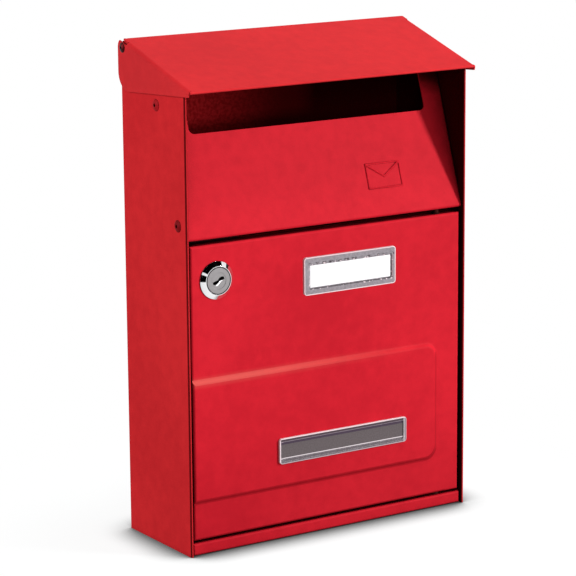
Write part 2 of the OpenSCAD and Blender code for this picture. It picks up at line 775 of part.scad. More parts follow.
// The lock's fixed part: a bevelled bezel, and a barrel with two flats
module lock_housing() {
    color(chrome) difference() {
        union() {
            on_lock(face_y) rotate_extrude() polygon([[0, 0], [bezel_r, 0], [bezel_r, 0.6], [bezel_r - 0.4, 0.9],
                [lock_face_r + 0.7, lock_proud], [lock_face_r + 0.2, lock_proud], [lock_face_r, lock_proud - 0.4],
                [lock_face_r - 0.3, lock_proud], [0, lock_proud]]);
            on_lock(barrel_end_y) linear_extrude(barrel_end_y - face_y + over) intersection() {
                circle(barrel_r);
                square([2 * barrel_flat, 4 * barrel_r], center = true);
            }
        }
        on_lock(barrel_end_y + over) cylinder(h = barrel_end_y - face_y + lock_proud + 2 * over,
            r = plug_r + running_gap);
        on_lock(plug_face_y + plug_head_t + running_gap) cylinder(h = plug_head_t + over,
            r = plug_head_r + running_gap);
    }
}

// The nut that clamps the lock to the door
module lock_nut() {
    chamfer = 0.6;
    corner_r = nut_af / 2 / cos(30);
    color(steel) on_lock(face_y + sheet_t + nut_t) difference() {
        intersection() {
            linear_extrude(nut_t) circle(corner_r, $fn = 6);
            rotate_extrude() polygon([[0, 0], [corner_r - chamfer, 0], [corner_r, chamfer],
                [corner_r, nut_t - chamfer], [corner_r - chamfer, nut_t], [0, nut_t]]);
        }
        translate([0, 0, -over]) cylinder(h = nut_t + 2 * over, r = barrel_r + running_gap);
    }
}

// The turning plug: its key slot, and the square end that drives the cam
module lock_plug() {
    tail_y = cam_y + cam_t;
    color(steel) difference() {
        union() {
            on_lock(plug_face_y + plug_head_t) cylinder(h = plug_head_t, r = plug_head_r);
            on_lock(cam_y) cylinder(h = cam_y - plug_face_y, r = plug_r);
            on_lock(tail_y) linear_extrude(cam_t + over) square(cam_square, center = true);
        }
        translate([lock_x, 0, lock_z]) rotate([0, -keyway_tilt, 0])
            along_y(plug_face_y - over, plug_face_y + key_depth) {
                square([keyway_l, key_t], center = true);
                translate([-keyway_l / 2, -key_t]) square([keyway_l / 2 - 0.5, key_t]);
                translate([0.5, 0]) square([keyway_l / 2 - 0.5, key_t]);
            }
        on_lock(tail_y + over) cylinder(h = cam_screw_l + over, r = cam_screw_r + running_gap);
    }
}

// The cam, which points away from the strike tab while the lock is open
module lock_cam() {
    color(steel) translate([lock_x, 0, lock_z]) along_y(cam_y, cam_y + cam_t) difference() {
        union() {
            circle(cam_w / 2);
            translate([cam_l / 2, 0]) rounded_rect(cam_l, cam_w, 2.5);
        }
        square(cam_square + 2 * running_gap, center = true);
    }
}

// The washer under the cam screw
module cam_washer() {
    color(steel) on_lock(cam_y + cam_t + washer_t) difference() {
        cylinder(h = washer_t, r = washer_r);
        translate([0, 0, -over]) cylinder(h = washer_t + 2 * over, r = cam_screw_r + running_gap);
    }
}

// The screw that holds the cam on the plug
module cam_screw() {
    head_r = 3.7;
    head_h = 2.2;
    cross_depth = 1.3;
    y = cam_y + cam_t + washer_t;
    color(steel) difference() {
        union() {
            on_lock(y + head_h) rotate_extrude() polygon([[0, 0], [head_r - 0.7, 0], [head_r, 0.8],
                [head_r, head_h], [0, head_h]]);
            on_lock(y) cylinder(h = cam_screw_l, r = cam_screw_r);
        }
        for (a = [0, 90]) translate([lock_x, 0, lock_z]) rotate([0, a, 0])
            along_y(y + head_h - cross_depth, y + head_h + over) square([4, 0.9], center = true);
    }
}

case_shell();
bottom_tray();
slot_panel();
slot_rivet(-1, rivet_s[1]);  // slot_rivet_upper_left
slot_rivet(-1, rivet_s[0]);  // slot_rivet_lower_left
slot_rivet(1, rivet_s[1]);  // slot_rivet_upper_right
slot_rivet(1, rivet_s[0]);  // slot_rivet_lower_right
roof_lid();
lid_rivet(-1);  // lid_rivet_left
lid_rivet(1);  // lid_rivet_right
door_panel();
hinge_pin_upper();
hinge_pin_lower();
name_plate_cover();
name_card();
name_plate_back();
inspection_window();
lock_housing();
lock_nut();
lock_plug();
lock_cam();
cam_washer();
cam_screw();
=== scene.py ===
# %% [markdown]
# # A wall letter box of red steel sheet
# This file dresses a finished mechanical model in Blender. The solids already have their real size and
# place, so nothing here moves them. What is added is what a maker's eye looks for: powder coat with its
# fine orange peel, a chromed lock, clear plastic over a card, and a studio that shows them plainly.
# Lengths are metres, Z is up, the front of the box faces -Y and the wall is behind it at +Y.

# %% Load the frame
import json
import math

import bmesh
import bpy
from mathutils import Matrix, Vector


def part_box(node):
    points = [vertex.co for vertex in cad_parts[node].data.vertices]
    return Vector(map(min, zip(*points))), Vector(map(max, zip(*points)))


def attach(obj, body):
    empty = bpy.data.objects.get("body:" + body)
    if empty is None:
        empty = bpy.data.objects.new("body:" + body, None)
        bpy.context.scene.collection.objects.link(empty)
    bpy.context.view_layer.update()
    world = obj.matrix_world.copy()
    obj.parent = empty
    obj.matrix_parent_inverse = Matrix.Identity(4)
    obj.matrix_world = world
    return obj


MM = 0.001
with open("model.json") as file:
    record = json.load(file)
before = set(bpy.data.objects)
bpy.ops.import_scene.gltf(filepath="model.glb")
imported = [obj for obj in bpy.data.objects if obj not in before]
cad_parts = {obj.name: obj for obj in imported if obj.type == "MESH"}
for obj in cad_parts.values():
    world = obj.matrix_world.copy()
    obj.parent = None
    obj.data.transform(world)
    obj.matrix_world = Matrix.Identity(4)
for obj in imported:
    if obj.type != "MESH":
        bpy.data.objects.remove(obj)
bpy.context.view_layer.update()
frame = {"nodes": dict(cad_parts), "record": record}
nodes = frame["nodes"]

# %% [markdown]
# ## The camera
# A photographer with a long lens stood to the left of the box and a little above it. The camera could be
# aimed by eye, but a long lens keeps upright edges nearly parallel, so its place and its lens have to be
# found together, by fitting the box's edges to the picture. The turn is built from three plain angles, in
# the order in which a tripod head has them: pan, tilt and roll.

# %% Camera
CAMERA_PLACE = Vector((-903.6, -1380.95, 514.0)) * MM
CAMERA_PAN, CAMERA_TILT, CAMERA_ROLL = -32.9, 12.3, -0.45
CAMERA_LENS, FILM_WIDTH = 163.1, 36.0

camera_data = bpy.data.cameras.new("camera")
camera_data.lens = CAMERA_LENS
camera_data.sensor_width = FILM_WIDTH
camera = bpy.data.objects.new("camera", camera_data)
camera.matrix_world = (
    Matrix.Translation(CAMERA_PLACE)
    @ Matrix.Rotation(math.radians(CAMERA_PAN), 4, "Z")
    @ Matrix.Rotation(math.radians(90 - CAMERA_TILT), 4, "X")
    @ Matrix.Rotation(math.radians(CAMERA_ROLL), 4, "Z")
)
bpy.context.scene.collection.objects.link(camera)
bpy.context.scene.camera = camera
bpy.context.scene.view_settings.view_transform = "Standard"
print("camera:", [round(v, 3) for v in CAMERA_PLACE], "lens", CAMERA_LENS)

# %% [markdown]
# ## Placing things round the box
# Lamps and cards stand round the box and face it. Coordinates would say little about where they are, so
# each one is placed as a studio hand would say it: so far to the side, so high, at such a distance.

# %% Stand round the box
MIDDLE = Vector((0, 0, 170)) * MM


def stand(thing, side, height, distance):
    """side and height are angles: 0, 0 is straight in front, 90, 0 is on the right, and 0, 90 is overhead."""
    side, height = math.radians(side), math.radians(height)
    along_floor = math.cos(height)
    towards = Vector((math.sin(side) * along_floor, -math.cos(side) * along_floor, math.sin(height)))
    thing.location = MIDDLE + towards * distance
    thing.rotation_euler = towards.to_track_quat("Z", "Y").to_euler()
    bpy.context.scene.collection.objects.link(thing)
    return thing


print("middle of the box:", [round(v, 3) for v in MIDDLE])

# %% [markdown]
# ## The lamps
# Soft boxes light the box. Each one is given by the level that it gives to a white card that faces it,
# where 1 is white, which is easier to think in than watts: a lamp of P watts at distance d gives a card
# P / (pi * d) ** 2. Both keys stand at the front right. The high one lights the sloped panel and the low
# one the upright door. They stand at the same angle to the side, so the right wall throws one clean edge
# of shadow on the panel, and not two. left_side lights the left wall and can't reach the inside of the
# right one, which stays dark. front_fill softens the whole front, and top lights the roof.

# %% Soft boxes
LAMPS = {  # side, height, distance, width, tall, level
    "key": (44, 24, 4.0, 0.42, 0.42, 0.64),
    "low_key": (44, 3, 4.0, 0.42, 0.42, 0.62),
    "left_side": (-112, 16, 2.0, 0.8, 1.2, 0.88),
    "front_fill": (-24, 14, 2.6, 1.0, 0.8, 0.27),
    "top": (60, 72, 2.2, 0.7, 0.7, 0.62),
}

for name, (side, height, distance, width, tall, level) in LAMPS.items():
    data = bpy.data.lights.new(name, "AREA")
    data.shape = "RECTANGLE"
    data.size, data.size_y = width, tall
    data.energy = level * (math.pi * distance) ** 2
    stand(bpy.data.objects.new(name, data), side, height, distance)
    print("lamp:", name, round(data.energy, 1), "watts")

# %% [markdown]
# ## Writing shaders as maths
# A shader is a graph of nodes, and a graph that is wired by hand is slow to read. The class below wraps
# one output socket. Ordinary maths on it adds Math nodes, also with the number first, as in `1 - mask`.
# Every other node comes from one method, which sets the node's own settings first and its sockets next.


# %% The socket class
class Wire:
    """An output socket of a shader tree, or only the tree before its first node."""

    def __init__(self, tree, socket=None):
        self.tree = tree
        self.socket = socket

    def node(self, kind, settings=None, sockets=None, out=0):
        made = self.tree.nodes.new(kind)
        for name, value in (settings or {}).items():
            setattr(made, name, value)
        for key, value in (sockets or {}).items():
            if isinstance(value, Wire):
                self.tree.links.new(value.socket, made.inputs[key])
            else:
                made.inputs[key].default_value = value
        return Wire(self.tree, made.outputs[out] if made.outputs else None)

    def other(self, out):
        """Another output of the node that this wire comes from."""
        return Wire(self.tree, self.socket.node.outputs[out])

    def maths(self, operation, *values):
        return self.node("ShaderNodeMath", {"operation": operation}, dict(enumerate(values)))

    def __add__(self, other):
        return self.maths("ADD", self, other)

    def __sub__(self, other):
        return self.maths("SUBTRACT", self, other)

    def __rsub__(self, other):
        return self.maths("SUBTRACT", other, self)

    def __mul__(self, other):
        return self.maths("MULTIPLY", self, other)

    def __truediv__(self, other):
        return self.maths("DIVIDE", self, other)

    def __rtruediv__(self, other):
        return self.maths("DIVIDE", other, self)

    __radd__ = __add__
    __rmul__ = __mul__

    def abs(self):
        return self.maths("ABSOLUTE", self)

    def larger(self, other):
        return self.maths("MAXIMUM", self, other)

    def smaller(self, other):
        return self.maths("MINIMUM", self, other)

    def vector(self, operation, *others, out=0):
        """Vector Math on this vector or colour and others."""
        values = dict(enumerate((self, *others)))
        return self.node("ShaderNodeVectorMath", {"operation": operation}, values, out)

    def axes(self):
        """The three numbers of a vector."""
        x = self.node("ShaderNodeSeparateXYZ", sockets={0: self})
        return x, x.other("Y"), x.other("Z")

    def band(self, low, high):
        """0 below low, 1 above high, and smooth between them."""
        return self.node("ShaderNodeMapRange", {"interpolation_type": "SMOOTHSTEP"},
                         {"Value": self, "From Min": low, "From Max": high})

    def below(self, limit, soft):
        """1 where this value is under a limit, falling to 0 over a soft edge."""
        return 1 - self.band(limit - soft, limit + soft)

    def line(self, centre, width):
        """1 on a line where this value is at its centre, 0 beyond its width."""
        return 1 - (self - centre).abs().band(width * 0.25, width * 0.75)

    def blend(self, first, second):
        """Two colours mixed by this value."""
        return self.node("ShaderNodeMix", {"data_type": "RGBA"}, {0: self, 6: first, 7: second}, out=2)

    def swing(self, amount):
        """A noise made to run as far below 0 as above it."""
        return (self - 0.5) * amount

    def two_tone(self, first, second, soft=0.2):
        """Two colours in patches, where this noise runs under or over its middle."""
        return self.band(0.5 - soft, 0.5 + soft).blend(first, second)


print("socket class:", len([name for name in vars(Wire) if not name.startswith("_")]), "named methods")

# %% [markdown]
# ## Starting a finish
# Every finish starts the same way: an empty tree, and the place of each point. It could be unwrapped for
# images, but sheet metal with holes and folds unwraps badly, and a pattern made from the place needs no
# seams. The place comes from Object coordinates, so a pattern stays on its piece when the door swings.
# Colours are written as they show on a screen and made linear, because light adds up in linear values.


# %% Finish helpers
def rgb(red, green, blue):
    """A colour given as it shows on a screen, from 0 to 255, made linear."""
    def linear(v):
        v /= 255
        return v / 12.92 if v <= 0.04045 else ((v + 0.055) / 1.055) ** 2.4
    return linear(red), linear(green), linear(blue), 1.0


def empty_tree(owner):
    """The shader tree of a material or a world, cleared."""
    owner.use_nodes = True
    owner.node_tree.nodes.clear()
    return Wire(owner.node_tree)


def start_finish(name):
    material = bpy.data.materials.new(name)
    tree = empty_tree(material)
    return material, tree, tree.node("ShaderNodeTexCoord", out="Object")


def end_finish(material, tree, sockets):
    shader = tree.node("ShaderNodeBsdfPrincipled", sockets=sockets)
    tree.node("ShaderNodeOutputMaterial", sockets={"Surface": shader})
    print("finish:", material.name, "with", len(material.node_tree.nodes), "nodes")
    return material


def noise(tree, place, scale, detail=2.0, roughness=0.5):
    return tree.node("ShaderNodeTexNoise", sockets={
        "Vector": place, "Scale": scale, "Detail": detail, "Roughness": roughness})


def openness(tree, reach, samples):
    """1 where a point lies open, towards 0 where other faces crowd it within this reach."""
    return tree.node("ShaderNodeAmbientOcclusion", {"samples": samples}, {"Distance": reach}, out="AO")


def round_edges(tree, radius):
    """A normal that turns softly over each edge, as if it were rounded."""
    return tree.node("ShaderNodeBevel", {"samples": 4}, {"Radius": radius})


def bump(tree, strength, depth, height, normal=None):
    sockets = {"Strength": strength, "Distance": depth, "Height": height}
    if normal:
        sockets["Normal"] = normal
    return tree.node("ShaderNodeBump", sockets=sockets)


print("mid grey on a screen is", round(rgb(128, 128, 128)[0], 3), "in linear light")

# %% [markdown]
# ## Black cards
# Polished metal has no look of its own: it shows the room. In an all-white room chrome turns into a pale
# blob, so a photographer hangs black cards for it to mirror. Dark bands could be painted on the bezel, but
# they would stay put when it turns, and real cards give bands that slide as they should. These are seen
# by mirror rays alone, so they take no light from the box.

# %% Black cards
CARDS = {  # side, height, distance, width, tall, grey
    "card_over": (8, 50, 1.1, 2.0, 0.8, 0.0),
    "card_by_camera": (-47, 2, 1.0, 0.42, 0.5, 0.0),
    "card_right": (92, 8, 1.0, 0.6, 0.6, 0.03),
}
UNSEEN_BY = ("camera", "diffuse", "transmission", "volume_scatter", "shadow")

for name, (side, height, distance, width, tall, grey) in CARDS.items():
    x, y = width / 2, tall / 2
    mesh = bpy.data.meshes.new(name)
    mesh.from_pydata([(-x, -y, 0), (x, -y, 0), (x, y, 0), (-x, y, 0)], [], [(0, 1, 2, 3)])
    card_object = stand(bpy.data.objects.new(name, mesh), side, height, distance)
    for ray in UNSEEN_BY:
        setattr(card_object, "visible_" + ray, False)
    material = bpy.data.materials.new(name)
    tree = empty_tree(material)
    felt = tree.node("ShaderNodeEmission", sockets={"Color": (grey, grey, grey, 1)})
    tree.node("ShaderNodeOutputMaterial", sockets={"Surface": felt})
    mesh.materials.append(material)
    print("card:", name, width, "by", tall, "m")

# %% [markdown]
# ## Powder coat
# The box is coated with polyester powder that melts in an oven. It flows just enough to round every edge
# and to leave orange peel, shallow waves of a millimetre or two. A finer grain on top breaks up the
# gloss, and the colour varies a little with the thickness. A photographed swatch could be used, but
# layers of noise keep one scale on every piece. The Bevel node rounds the shaded edges by the thickness
# of the coat, which would take many thin faces to model.
# Narrow gaps get a painted shade: the colour there is darkened towards a near black red. The Ambient
# Occlusion node finds such gaps by itself, wherever the sheets come close.

# %% Powder coat
CLOUD_SCALE, FLECK_SCALE, PEEL_SCALE, GRAIN_SCALE = 9.0, 130.0, 620.0, 2600.0
CLOUD_TINT, FLECK_TINT, GRAIN_TINT = 0.8, 0.55, 0.6
PEEL_STRENGTH, PEEL_DEPTH = 0.16, 0.3 * MM
GRAIN_STRENGTH, GRAIN_DEPTH = 0.22, 0.06 * MM
COAT_ROUGHNESS, GRAIN_ROUGHNESS, CLOUD_ROUGHNESS = 0.46, 0.22, 0.1
COAT_EDGE = 0.35 * MM
GAP_REACH, GAP_FADE = 9 * MM, (0.18, 0.54)
# painted shade for narrow gaps and for the side walls' folded front edges
PAINTED_SHADE = rgb(28, 2, 4)
GLOSS = 0.02


def powder_coat(name, light, dark, detail=None, gloss=GLOSS, gap=GAP_REACH, fade=GAP_FADE):
    material, tree, place = start_finish(name)
    cloud = noise(tree, place, CLOUD_SCALE, detail=3.0)
    fleck = noise(tree, place, FLECK_SCALE, detail=3.0, roughness=0.6)
    peel = noise(tree, place, PEEL_SCALE)
    grain = noise(tree, place, GRAIN_SCALE, roughness=0.65)
    tint = cloud.swing(CLOUD_TINT) + fleck.swing(FLECK_TINT) + grain.swing(GRAIN_TINT) + 0.5
    base = tint.two_tone(dark, light, soft=0.3)
    if detail:
        base = detail(tree, place, base)
    # painted shade: darker where other faces crowd a point within the gap's reach
    base = openness(tree, gap, samples=6).band(*fade).blend(PAINTED_SHADE, base)
    roughness = grain.swing(GRAIN_ROUGHNESS) + cloud.swing(CLOUD_ROUGHNESS) + COAT_ROUGHNESS
    waves = bump(tree, PEEL_STRENGTH, PEEL_DEPTH, peel, round_edges(tree, COAT_EDGE))
    surface = bump(tree, GRAIN_STRENGTH, GRAIN_DEPTH, grain, waves)
    return end_finish(material, tree, {
        "Base Color": base, "Roughness": roughness, "Specular IOR Level": gloss, "Normal": surface})


print("powder coat:", "orange peel of about", round(1 / PEEL_SCALE / MM, 1), "mm")

# %% [markdown]
# ## The foot of the box
# The lower part of the box is painted a little darker, a painted shade for the light that falls off
# towards the floor. A mask could be painted by hand. A factor that grows with the height does the same for
# every piece that reaches down there, and it joins from the door to the lip without a step.

# %% Foot of the box
FOOT_HEIGHT = 85 * MM
FOOT_LEVEL = 0.82


def foot_shade(tree, place, base):
    _, _, height = place.axes()
    # painted shade: the colour dims towards the floor
    level = height.band(0, FOOT_HEIGHT) * (1 - FOOT_LEVEL) + FOOT_LEVEL
    return tree.node("ShaderNodeVectorMath", {"operation": "SCALE"}, {0: base, "Scale": level})


print("foot: down to", FOOT_LEVEL, "of the colour")

# %% [markdown]
# ## Inside the case
# The inner faces of the case are painted dark as shade: a blotchy dark red, partly random tone, that ends
# in near black at the right, where the inside lies deepest in shade. The case is one folded sheet, so its
# inside can't be given a material of its own without cutting the solid. Instead each point asks its own
# normal: an inner face looks back at the middle of the case, and an outer one looks away from it. The
# place is cubed first, so that only the nearest wall counts. The folded front edges of the side walls get
# a dark line of painted shade too.

# %% Inside the case
FOLD_DEPTH, FOLD_SOFT, FOLD_STRENGTH = 1.5 * MM, 0.3 * MM, 0.8
SIDEWAYS, INWARD = (0.3, 0.6), (0.35, 0.75)
INSIDE_SHADE_SPAN = (-1.0, 0.2)
case_low, case_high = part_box("case_shell")
CASE_MIDDLE, CASE_HALF = (case_low + case_high) / 2, (case_high - case_low) / 2
SPOT_SCALE = 500.0
# painted shade: dark blotchy reds for the inner faces
SHADED_BLOTCHES = rgb(130, 14, 18), rgb(160, 27, 31)
INSIDE_DEEP_SHADE = rgb(44, 2, 3)


def inside_of_case(tree, place, base):
    facing = tree.node("ShaderNodeTexCoord", out="Normal")
    wall = place.vector("SUBTRACT", tuple(CASE_MIDDLE)).vector("DIVIDE", tuple(CASE_HALF))
    cubed = wall.vector("MULTIPLY", wall.vector("MULTIPLY", wall))
    inward = 0 - facing.vector("DOT_PRODUCT", cubed, out="Value")
    across, _, _ = wall.axes()
    _, depth, _ = place.axes()
    sideways, _, _ = facing.axes()
    front = case_low.y + FOLD_DEPTH
    # painted shade: a dark line along the side walls' folded front edges
    fold = depth.below(front, FOLD_SOFT) * sideways.abs().band(*SIDEWAYS)
    base = (fold * FOLD_STRENGTH).blend(base, PAINTED_SHADE)
    shaded_blotch = noise(tree, place, SPOT_SCALE).two_tone(*SHADED_BLOTCHES, soft=0.15)
    # painted shade: the inside darkens to near black towards the right
    inside_shade = across.band(*INSIDE_SHADE_SPAN).blend(shaded_blotch, INSIDE_DEEP_SHADE)
    return inward.band(*INWARD).blend(base, inside_shade)


print("inside: the middle of the case is", [round(v, 3) for v in CASE_MIDDLE])

# %% [markdown]
# ## The raised field
# The lower part of the door is pressed forward, with a slope all round. The slope itself is in the solid.
# The upper slope gets a painted highlight, lighter at the left, and the slopes that look down or to the
# right get a painted shade. They are found by the normal, which no painted mask would follow so closely.

# %% Raised field
FIELD_TOP, FIELD_RIGHT, FIELD_SOFT = 112 * MM, 92 * MM, 1 * MM
LEAN = (0.04, 0.3)
RIGHT_SHARE = 0.7
BROW_HIGHLIGHT, BROW_SLOPE, BROW_LINE, BROW_HEIGHT = rgb(196, 96, 86), 0.4, 0.16, 6 * MM
BROW_LIMIT, BROW_LEFT, BROW_RIGHT = FIELD_TOP + 12 * MM, -90 * MM, 90 * MM
UNDERSIDE_SHADE, UNDERSIDE_SHADE_STRENGTH = rgb(110, 8, 16), 0.5


def pressed_field(tree, place, base):
    rightward, _, upward = tree.node("ShaderNodeTexCoord", out="Normal").axes()
    x, _, z = place.axes()
    near_left = (1 - x.band(BROW_LEFT, BROW_RIGHT)) * z.below(BROW_LIMIT, FIELD_SOFT)
    lit = upward.band(*LEAN) * BROW_SLOPE + z.line(FIELD_TOP, BROW_HEIGHT) * BROW_LINE
    # painted highlight on the upper slope, strongest at the left
    base = (lit * near_left).blend(base, BROW_HIGHLIGHT)
    # painted shade on the slopes that look down or to the right
    turned_away = (rightward * RIGHT_SHARE - upward).band(*LEAN)
    dark = turned_away * z.below(FIELD_TOP, FIELD_SOFT) * x.below(FIELD_RIGHT, FIELD_SOFT)
    base = (dark * UNDERSIDE_SHADE_STRENGTH).blend(base, UNDERSIDE_SHADE)
    return foot_shade(tree, place, base)


print("field: its upper slope is at", round(FIELD_TOP, 3), "m")

# %% [markdown]
# ## The paints
# One powder was used on the whole box. It is given warmer on the roof and the case and cooler on the
# front, a painted tint for the light that falls on those sides. One finish with several pairs of colours
# shows that. The sloped panel sits deep between the walls, so its painted shade in the gaps reaches
# further and darkens it towards the walls. The heads of the lower rivets are darker than the upper ones.

# %% Paints
# painted tint: the cooler front red and the warmer roof and case red stand in for the light on each side
COOL_RED = rgb(193, 29, 42), rgb(172, 22, 35)
WARM_RED = rgb(195, 40, 44), rgb(176, 33, 38)
RIVET_RED = rgb(172, 24, 32), rgb(128, 16, 22)
# the lower rivets' heads are given a darker red than the upper ones
DARK_RIVET_RED = rgb(132, 15, 21), rgb(90, 9, 13)
# painted shade: the panel darkens over a longer reach towards the walls
DEEP_REACH, DEEP_FADE = 30 * MM, (0.46, 0.78)

red_paint = powder_coat("red_powder_coat", *COOL_RED, foot_shade)
panel_paint = powder_coat("panel_powder_coat", *COOL_RED, foot_shade, gap=DEEP_REACH, fade=DEEP_FADE)
door_paint = powder_coat("door_powder_coat", *COOL_RED, pressed_field)
rivet_paint = powder_coat("rivet_powder_coat", *RIVET_RED)
dark_rivet_paint = powder_coat("dark_rivet_powder_coat", *DARK_RIVET_RED)
roof_paint = powder_coat("roof_powder_coat", *WARM_RED)
case_paint = powder_coat("case_powder_coat", *WARM_RED, inside_of_case, gloss=0.0)

# %% [markdown]
# ## The lock's bezel
# The bezel is one turned piece: a polished chrome cone, a groove, and a flat satin face. It could have
# two materials on two sets of faces. Here the distance from its axis tells them apart, so the groove's
# dark line and the satin rings stay exactly round. Near the door the chrome is painted darker by a short
# reach of the Ambient Occlusion node: painted shade, which also dims the door's red mirrored there.

# %% Lock bezel
FACE_RADIUS = 8.4 * MM
GROOVE_OFFSET, GROOVE_WIDTH = 0.1 * MM, 0.7 * MM
RING_SCALE, RING_DEPTH = 5200.0, 0.004 * MM
BRIGHT_CHROME, GROOVE, BEZEL_SHADE = rgb(238, 238, 240), rgb(60, 56, 58), rgb(30, 28, 32)
SATIN = rgb(112, 109, 110), rgb(130, 127, 128)
POLISHED_ROUGHNESS, FACE_ROUGHNESS, SMUDGE_ROUGHNESS = 0.03, 0.3, 0.05
BEZEL_SHADE_REACH, BEZEL_SHADE_FADE = 6 * MM, (0.6, 0.97)


def lock_metal():
    material, tree, place = start_finish("lock_chrome")
    low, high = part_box("lock_housing")
    from_axis = place.vector("SUBTRACT", tuple((low + high) / 2)).vector("MULTIPLY", (1, 0, 1))
    radius = from_axis.vector("LENGTH", out="Value")
    face = radius.below(FACE_RADIUS, 0.1 * MM)
    rings = noise(tree, tree.node("ShaderNodeCombineXYZ", sockets={0: radius}), RING_SCALE, detail=3.0)
    smudge = noise(tree, place, 300.0, detail=3.0)
    base = face.blend(BRIGHT_CHROME, rings.two_tone(*SATIN))
    base = radius.line(FACE_RADIUS + GROOVE_OFFSET, GROOVE_WIDTH).blend(base, GROOVE)
    # painted shade: darker near the door, in place of the red that the chrome would mirror
    base = openness(tree, BEZEL_SHADE_REACH, samples=8).band(*BEZEL_SHADE_FADE).blend(BEZEL_SHADE, base)
    surface = bump(tree, 0.3, RING_DEPTH, rings * face, round_edges(tree, 0.12 * MM))
    roughness = face * FACE_ROUGHNESS + smudge * SMUDGE_ROUGHNESS + POLISHED_ROUGHNESS
    return end_finish(material, tree, {
        "Base Color": base, "Roughness": roughness, "Metallic": 1.0, "Normal": surface})


lock_chrome = lock_metal()

# %% [markdown]
# ## The plug and its keyway
# The plug is turned from nickel-plated brass, and its keyway is milled in an S so that only a profiled
# key goes in. The solid has a plain slot there, and the curved mouth could be cut with a boolean. It is
# 9 mm long, though, so it is drawn by the shader: two axes are laid along and across the keyway, a sine
# bends one of them, and limits on both give the mouth, painted black as shade, and a painted glint along
# the edge under it.

# %% Plug
KEYWAY_TURN = math.radians(20)
KEYWAY_HALF, MOUTH_HALF = 4.3 * MM, 0.9 * MM
WAVE_STEP, WAVE_HEIGHT = 1.35 * MM, 0.75 * MM
GLINT_OFFSET, GLINT_HALF, GLINT_LENGTH = 1.35 * MM, 0.45 * MM, 2.6 * MM
MILLED_SOFT, MILLED_END = 0.15 * MM, 0.2 * MM
PLUG_ROUGHNESS, PLUG_GRAIN = 0.36, 0.12
NICKEL = rgb(110, 107, 108), rgb(130, 127, 128)
GLINT, MOUTH_SHADE = rgb(250, 250, 252), rgb(6, 6, 8)


def plug_metal():
    material, tree, place = start_finish("satin_nickel")
    low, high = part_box("lock_plug")
    offset = place.vector("SUBTRACT", tuple((low + high) / 2))
    cosine, sine = math.cos(KEYWAY_TURN), math.sin(KEYWAY_TURN)
    along = offset.vector("DOT_PRODUCT", (cosine, 0, sine), out="Value")
    across = offset.vector("DOT_PRODUCT", (-sine, 0, cosine), out="Value")
    across = across - along.maths("SINE", along / WAVE_STEP) * WAVE_HEIGHT
    grain = noise(tree, place, 3800.0, detail=4.0, roughness=0.6)
    # painted glint along the edge under the mouth
    glint = (across + GLINT_OFFSET).abs().below(GLINT_HALF, MILLED_SOFT)
    glint = glint * along.abs().below(GLINT_LENGTH, 2 * MILLED_SOFT)
    # painted shade: the keyway's mouth drawn black
    mouth = across.abs().below(MOUTH_HALF, MILLED_SOFT) * along.abs().below(KEYWAY_HALF, MILLED_END)
    base = mouth.blend(glint.blend(grain.two_tone(*NICKEL), GLINT), MOUTH_SHADE)
    return end_finish(material, tree, {
        "Base Color": base, "Roughness": grain.swing(PLUG_GRAIN) + PLUG_ROUGHNESS, "Metallic": 1.0,
        "Normal": bump(tree, 0.25, 0.01 * MM, grain)})


satin_nickel = plug_metal()

# %% [markdown]
# ## Plain metals
# The nut, cam, washer and screw are zinc plated, the hinge pins are steel that caught some red powder and
# are painted very dark as shade where they sit in the door's gaps, and the roof's rivets are blackened.
# Each could have a shader of its own, but they differ only in how light, how rough and how grainy they
# are, so one function makes them all.


# %% Plain metals
def metal(name, light, dark, rough, grain_scale):
    material, tree, place = start_finish(name)
    grain = noise(tree, place, grain_scale, detail=4.0, roughness=0.6)
    smudge = noise(tree, place, 160.0)
    return end_finish(material, tree, {
        "Base Color": smudge.two_tone(dark, light),
        "Roughness": grain.swing(0.12) + smudge.swing(0.08) + rough,
        "Metallic": 1.0,
        "Normal": bump(tree, 0.25, 0.02 * MM, grain, round_edges(tree, 0.15 * MM))})


zinc_steel = metal("zinc_steel", rgb(190, 190, 192), rgb(160, 162, 168), 0.38, 1500.0)
# painted shade: the pins are made very dark, as they sit in the door's gaps
pin_steel = metal("pin_steel", rgb(52, 20, 16), rgb(30, 12, 10), 0.6, 1800.0)
black_steel = metal("black_steel", rgb(66, 12, 14), rgb(26, 4, 6), 0.45, 1500.0)

# %% [markdown]
# ## Clear plastic
# The name plate's cover and the window are moulded acrylic. True glass shaders need many samples for a
# thin moulding, and its look here comes from its own edges and haze. So the plastic is a plain surface
# whose Alpha says where one sees through it. Both mouldings have round corners, and the distance to such
# an outline places every rim and line on them.


# %% Clear plastic
def outside_by(place, low, high, radius):
    """Distance outside a rounded rectangle in X and Z, negative inside it."""
    middle, half = (low + high) / 2, (high - low) / 2
    x, _, z = place.axes()
    x = (x - middle.x).abs() - (half.x - radius)
    z = (z - middle.z).abs() - (half.z - radius)
    outer_x, outer_z = x.larger(0), z.larger(0)
    corner = x.maths("SQRT", outer_x * outer_x + outer_z * outer_z)
    return corner + x.larger(z).smaller(0) - radius


def end_plastic(material, tree, base, alpha, haze):
    return end_finish(material, tree, {
        "Base Color": base, "Roughness": haze * 0.1 + 0.12, "Alpha": alpha, "IOR": 1.49,
        "Specular IOR Level": 0.4,
        "Normal": bump(tree, 0.1, 0.02 * MM, haze, round_edges(tree, 0.3 * MM))})


MOULD_RADIUS = 2 * MM
# painted highlight for the lit rims and glints of the mouldings
EDGE_HIGHLIGHT = rgb(220, 202, 206)
print("clear plastic: corners of", round(MOULD_RADIUS / MM, 1), "mm")

